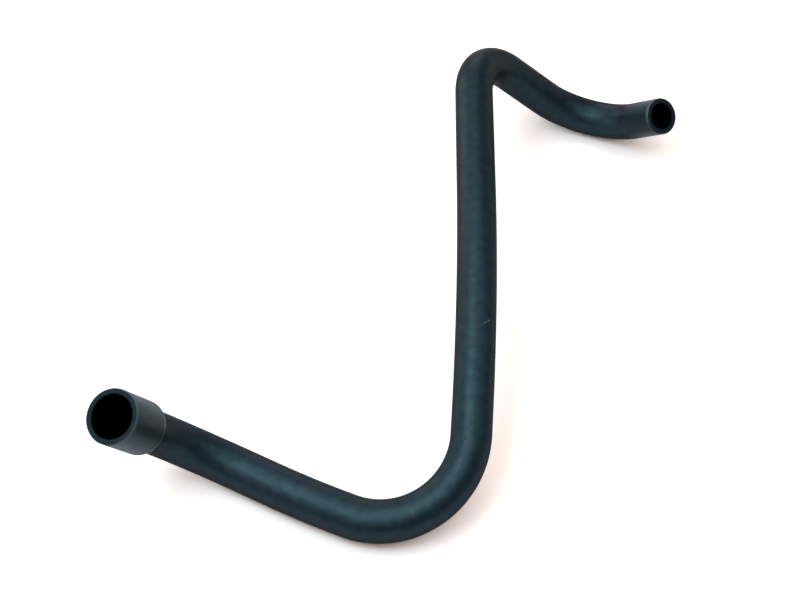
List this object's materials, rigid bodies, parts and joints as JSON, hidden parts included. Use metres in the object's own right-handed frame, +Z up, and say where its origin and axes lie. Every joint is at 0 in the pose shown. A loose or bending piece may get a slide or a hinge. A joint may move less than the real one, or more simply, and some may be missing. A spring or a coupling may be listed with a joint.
{
  "type": "vent hose",
  "caption": "Moulded rubber vent hose with a belled end, a plain end and bends in several planes, for carrying vapour between two pipe stubs.",
  "frame": {"origin": "middle of the base of the bounding box, on the floor that the hose lies on", "axes": "+Y along the long run, from the lower bend to the top bend; +X from the belled end towards the plain end; +Z up"},
  "size_m": [0.2654, 0.26, 0.071],
  "materials": {
    "rubber": "matte, slightly dusty, dark blue-grey"
  },
  "bodies": {
    "root": {"vent_hose": "rubber"}
  },
  "joints": []
}
